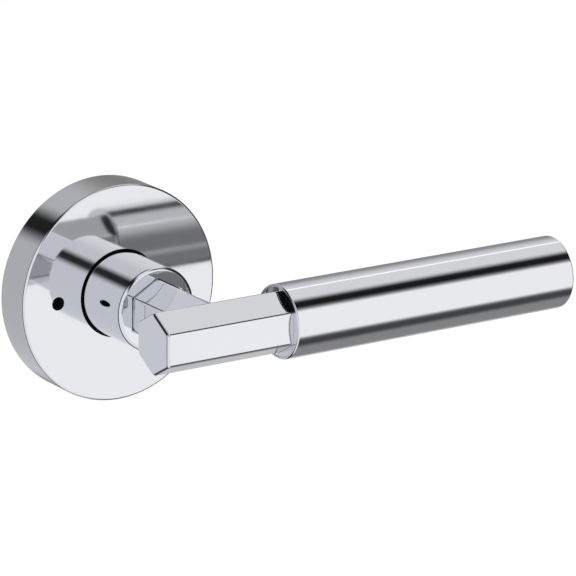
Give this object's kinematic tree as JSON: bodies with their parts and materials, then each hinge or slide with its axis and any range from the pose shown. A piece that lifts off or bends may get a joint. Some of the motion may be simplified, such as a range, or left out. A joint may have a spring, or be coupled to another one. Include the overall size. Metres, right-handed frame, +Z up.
{
  "type": "door lever handle",
  "caption": "Polished chrome lever door handle on a round rose: hexagonal arm in a round hub, round tube grip, small release hole in the rose.",
  "frame": {"origin": "on the spindle axis at the door face, the plane of the rose's back", "axes": "+Y along the spindle into the door, -Y out to the hand, +X along the lever, +Z up"},
  "size_m": [0.1559, 0.1051, 0.066],
  "materials": {
    "rose_chrome": "mirror-polished chrome plate on the rose",
    "lever_chrome": "mirror-polished chrome plate on the hub, arm and grip",
    "plate_steel": "zinc-plated pressed steel",
    "spindle_steel": "zinc-plated drawn steel",
    "spring_steel": "bright spring steel wire",
    "screw_steel": "zinc-plated screws",
    "bush_nylon": "black nylon",
    "release_black": "black-finished turned metal"
  },
  "bodies": {
    "rose": {"rose_cover": "rose_chrome", "back_plate": "plate_steel", "cage_lid": "plate_steel", "lid_screws": "screw_steel", "hub_bush": "bush_nylon", "mounting_post_upper": "spindle_steel", "mounting_post_lower": "spindle_steel", "snap_ring": "spring_steel", "return_spring": "spring_steel", "release_guide": "release_black", "release_cap": "release_black", "release_spring": "spring_steel"},
    "lever": {"hub": "lever_chrome", "hex_arm": "lever_chrome", "arm_screw": "screw_steel", "spindle": "spindle_steel", "spindle_pin": "spring_steel", "spring_driver": "plate_steel", "thrust_washer": "plate_steel", "retaining_ring": "spring_steel", "grip_tube": "lever_chrome", "grip_bush_near": "lever_chrome", "grip_bush_far": "bush_nylon", "grip_end_plug": "lever_chrome"},
    "release": {"release_plunger": "release_black"}
  },
  "joints": [
    {"name": "lever_turn", "type": "hinge", "parent": "rose", "child": "lever", "pos_m": [0, 0, 0], "axis": [0, 1, 0], "range_deg": [-45, 45], "stiffness_Nm_per_rad": 3.5, "springref_deg": -2.29, "deforming": ["return_spring"]},
    {"name": "release_push", "type": "slide", "parent": "rose", "child": "release", "axis": [0, 1, 0], "range_m": [0, 0.005], "stiffness_N_per_m": 200, "springref_m": -0.001, "deforming": ["release_spring"]}
  ]
}
